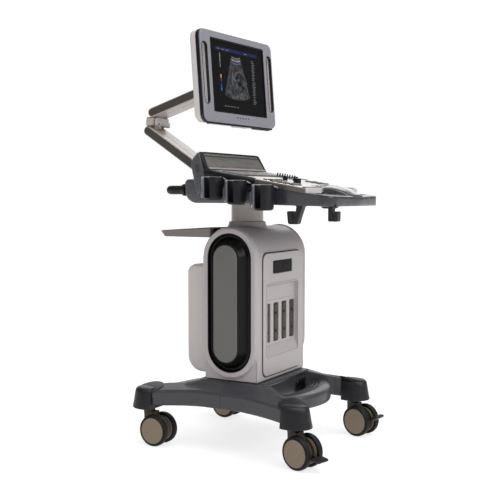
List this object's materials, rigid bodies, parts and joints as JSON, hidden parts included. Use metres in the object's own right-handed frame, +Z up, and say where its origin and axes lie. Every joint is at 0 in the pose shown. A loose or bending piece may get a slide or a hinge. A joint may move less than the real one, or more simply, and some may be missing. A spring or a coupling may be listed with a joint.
{
  "type": "ultrasound scanner",
  "caption": "Wheeled ultrasound cart: cabinet on braked casters, lifting console with probe cups and controls, and a screen on a two-link arm.",
  "frame": {"origin": "on the floor under the middle of the bounding box", "axes": "+Z up; -Y towards the operator at the front; +X towards the operator's right"},
  "size_m": [0.5414, 0.7804, 1.3092],
  "materials": {
    "base_plastic": "satin dark grey paint",
    "dark_plastic": "matt charcoal",
    "warm_grey": "satin warm light grey",
    "column_paint": "satin warm grey paint",
    "console_grey": "satin mid grey",
    "deck_silver": "silver satin",
    "touch_glass": "smooth panel",
    "soft_black": "soft matt black",
    "taupe": "satin taupe",
    "tread": "soft black tread with taupe hub covers",
    "arm_beige": "satin beige",
    "bezel": "satin grey",
    "shell": "satin off-white",
    "screen": "glossy display face",
    "metal": "brushed"
  },
  "bodies": {
    "base": {"base_front": "base_plastic", "base_rear": "base_plastic", "leg_cap_front_left": "dark_plastic", "leg_cap_front_right": "dark_plastic", "leg_cap_rear_left": "dark_plastic", "leg_cap_rear_right": "dark_plastic", "cabinet_body": "warm_grey", "front_cover": "warm_grey", "probe_port_board": "dark_plastic", "side_panel_left": "dark_plastic", "side_panel_right": "dark_plastic", "rear_cover": "warm_grey", "mains_inlet": "dark_plastic", "rear_tray": "metal", "electronics_chassis": "metal"},
    "caster_front_left": {"caster_fork_front_left": "taupe"},
    "wheels_front_left": {"caster_wheels_front_left": "tread"},
    "caster_front_right": {"caster_fork_front_right": "taupe"},
    "wheels_front_right": {"caster_wheels_front_right": "tread"},
    "caster_rear_left": {"caster_fork_rear_left": "taupe"},
    "wheels_rear_left": {"caster_wheels_rear_left": "tread"},
    "caster_rear_right": {"caster_fork_rear_right": "taupe"},
    "wheels_rear_right": {"caster_wheels_rear_right": "tread"},
    "brake_front_left": {"brake_pedal_front_left": "dark_plastic"},
    "brake_front_right": {"brake_pedal_front_right": "dark_plastic"},
    "lift": {"lift_column": "column_paint"},
    "console": {"console_housing": "console_grey", "console_frame": "console_grey", "console_deck": "deck_silver", "touch_panel": "touch_glass", "rear_handle": "soft_black", "cable_hook_rear": "dark_plastic", "cable_hook_front": "dark_plastic", "probe_cup_left_1": "soft_black", "probe_cup_left_2": "soft_black", "probe_cup_left_3": "soft_black", "probe_cup_right_1": "soft_black", "probe_cup_right_2": "soft_black", "probe_cup_right_3": "soft_black"},
    "tgc_slider_1": {"tgc_slider_1": "soft_black"},
    "tgc_slider_2": {"tgc_slider_2": "soft_black"},
    "tgc_slider_3": {"tgc_slider_3": "soft_black"},
    "tgc_slider_4": {"tgc_slider_4": "soft_black"},
    "tgc_slider_5": {"tgc_slider_5": "soft_black"},
    "tgc_slider_6": {"tgc_slider_6": "soft_black"},
    "tgc_slider_7": {"tgc_slider_7": "soft_black"},
    "tgc_slider_8": {"tgc_slider_8": "soft_black"},
    "knob_gain": {"knob_gain": "soft_black"},
    "knob_depth": {"knob_depth": "soft_black"},
    "knob_select": {"knob_select": "soft_black"},
    "trackball": {"trackball": "soft_black"},
    "arm_base": {"arm_base": "console_grey"},
    "lower_arm": {"lower_arm": "arm_beige"},
    "arm_knuckle": {"arm_knuckle": "arm_beige"},
    "upper_arm": {"upper_arm": "arm_beige"},
    "monitor_mount": {"monitor_mount": "arm_beige"},
    "monitor_yoke": {"monitor_yoke": "dark_plastic"},
    "monitor": {"monitor_shell": "shell", "monitor_bezel": "bezel", "monitor_screen": "screen"}
  },
  "joints": [
    {"name": "caster_swivel_front_left", "type": "hinge", "parent": "base", "child": "caster_front_left", "pos_m": [-0.21637, -0.27326, 0.11], "axis": [0, 0, 1], "continuous": true},
    {"name": "wheel_spin_front_left", "type": "hinge", "parent": "caster_front_left", "child": "wheels_front_left", "pos_m": [-0.22459, -0.30625, 0.05], "axis": [0.9703, -0.2419, 0], "continuous": true},
    {"name": "caster_swivel_front_right", "type": "hinge", "parent": "base", "child": "caster_front_right", "pos_m": [0.22163, -0.27326, 0.11], "axis": [0, 0, 1], "continuous": true},
    {"name": "wheel_spin_front_right", "type": "hinge", "parent": "caster_front_right", "child": "wheels_front_right", "pos_m": [0.21398, -0.30639, 0.05], "axis": [0.9744, -0.225, 0], "continuous": true},
    {"name": "caster_swivel_rear_left", "type": "hinge", "parent": "base", "child": "caster_rear_left", "pos_m": [-0.21637, 0.24574, 0.11], "axis": [0, 0, 1], "continuous": true},
    {"name": "wheel_spin_rear_left", "type": "hinge", "parent": "caster_rear_left", "child": "wheels_rear_left", "pos_m": [-0.21637, 0.21174, 0.05], "axis": [1, 0, 0], "continuous": true},
    {"name": "caster_swivel_rear_right", "type": "hinge", "parent": "base", "child": "caster_rear_right", "pos_m": [0.22163, 0.24574, 0.11], "axis": [0, 0, 1], "continuous": true},
    {"name": "wheel_spin_rear_right", "type": "hinge", "parent": "caster_rear_right", "child": "wheels_rear_right", "pos_m": [0.21867, 0.21187, 0.05], "axis": [0.9962, -0.0872, 0], "continuous": true},
    {"name": "brake_hinge_front_left", "type": "hinge", "parent": "caster_front_left", "child": "brake_front_left", "pos_m": [-0.22992, -0.3276, 0.05], "axis": [0.9703, -0.2419, 0], "range_deg": [-36, 0]},
    {"name": "brake_hinge_front_right", "type": "hinge", "parent": "caster_front_right", "child": "brake_front_right", "pos_m": [0.20903, -0.32783, 0.05], "axis": [0.9744, -0.225, 0], "range_deg": [0, 36]},
    {"name": "lift_slide", "type": "slide", "parent": "base", "child": "lift", "axis": [0, 0, 1], "range_m": [-0.02, 0.1]},
    {"name": "console_swivel", "type": "hinge", "parent": "lift", "child": "console", "pos_m": [0.00263, 0.00874, 0.76], "axis": [0, 0, 1], "range_deg": [-45, 45]},
    {"name": "tgc_slide_1", "type": "slide", "parent": "console", "child": "tgc_slider_1", "axis": [1, 0, 0], "range_m": [-0.01, 0.01]},
    {"name": "tgc_slide_2", "type": "slide", "parent": "console", "child": "tgc_slider_2", "axis": [1, 0, 0], "range_m": [-0.01, 0.01]},
    {"name": "tgc_slide_3", "type": "slide", "parent": "console", "child": "tgc_slider_3", "axis": [1, 0, 0], "range_m": [-0.01, 0.01]},
    {"name": "tgc_slide_4", "type": "slide", "parent": "console", "child": "tgc_slider_4", "axis": [1, 0, 0], "range_m": [-0.01, 0.01]},
    {"name": "tgc_slide_5", "type": "slide", "parent": "console", "child": "tgc_slider_5", "axis": [1, 0, 0], "range_m": [-0.01, 0.01]},
    {"name": "tgc_slide_6", "type": "slide", "parent": "console", "child": "tgc_slider_6", "axis": [1, 0, 0], "range_m": [-0.01, 0.01]},
    {"name": "tgc_slide_7", "type": "slide", "parent": "console", "child": "tgc_slider_7", "axis": [1, 0, 0], "range_m": [-0.01, 0.01]},
    {"name": "tgc_slide_8", "type": "slide", "parent": "console", "child": "tgc_slider_8", "axis": [1, 0, 0], "range_m": [-0.01, 0.01]},
    {"name": "knob_turn_gain", "type": "hinge", "parent": "console", "child": "knob_gain", "pos_m": [-0.01337, -0.13726, 0.84433], "axis": [0, -0.1695, 0.9855], "range_deg": [-150, 150]},
    {"name": "knob_turn_depth", "type": "hinge", "parent": "console", "child": "knob_depth", "pos_m": [0.04263, -0.14526, 0.84295], "axis": [0, -0.1695, 0.9855], "range_deg": [-150, 150]},
    {"name": "knob_turn_select", "type": "hinge", "parent": "console", "child": "knob_select", "pos_m": [-0.03537, -0.19126, 0.83504], "axis": [0, -0.1695, 0.9855], "continuous": true},
    {"name": "trackball_roll", "type": "hinge", "parent": "console", "child": "trackball", "pos_m": [0.02063, -0.26526, 0.81031], "axis": [1, 0, 0], "continuous": true},
    {"name": "arm_swivel", "type": "hinge", "parent": "console", "child": "arm_base", "pos_m": [0.00263, 0.12474, 0.85], "axis": [0, 0, 1], "range_deg": [-30, 30]},
    {"name": "lower_arm_tilt", "type": "hinge", "parent": "arm_base", "child": "lower_arm", "pos_m": [0.00263, 0.14274, 0.866], "axis": [1, 0, 0], "range_deg": [-6, 30]},
    {"name": "knuckle_level", "type": "hinge", "parent": "lower_arm", "child": "arm_knuckle", "pos_m": [0.00263, 0.37474, 1.016], "axis": [1, 0, 0], "range_deg": [-30, 6]},
    {"name": "upper_arm_tilt", "type": "hinge", "parent": "arm_knuckle", "child": "upper_arm", "pos_m": [0.00263, 0.35674, 1.077], "axis": [1, 0, 0], "range_deg": [-30, 12]},
    {"name": "mount_level", "type": "hinge", "parent": "upper_arm", "child": "monitor_mount", "pos_m": [0.00263, 0.15474, 1.139], "axis": [1, 0, 0], "range_deg": [-12, 30]},
    {"name": "monitor_swivel", "type": "hinge", "parent": "monitor_mount", "child": "monitor_yoke", "pos_m": [0.00263, 0.12874, 1.15], "axis": [0, 0, 1], "range_deg": [-45, 45]},
    {"name": "monitor_tilt", "type": "hinge", "parent": "monitor_yoke", "child": "monitor", "pos_m": [0.00133, 0.10678, 1.15], "axis": [0.9982, -0.0593, 0], "range_deg": [-25, 14]}
  ],
  "couplings": [
    {"joint": "knuckle_level", "follows": "lower_arm_tilt", "ratio": -1},
    {"joint": "mount_level", "follows": "upper_arm_tilt", "ratio": -1}
  ]
}
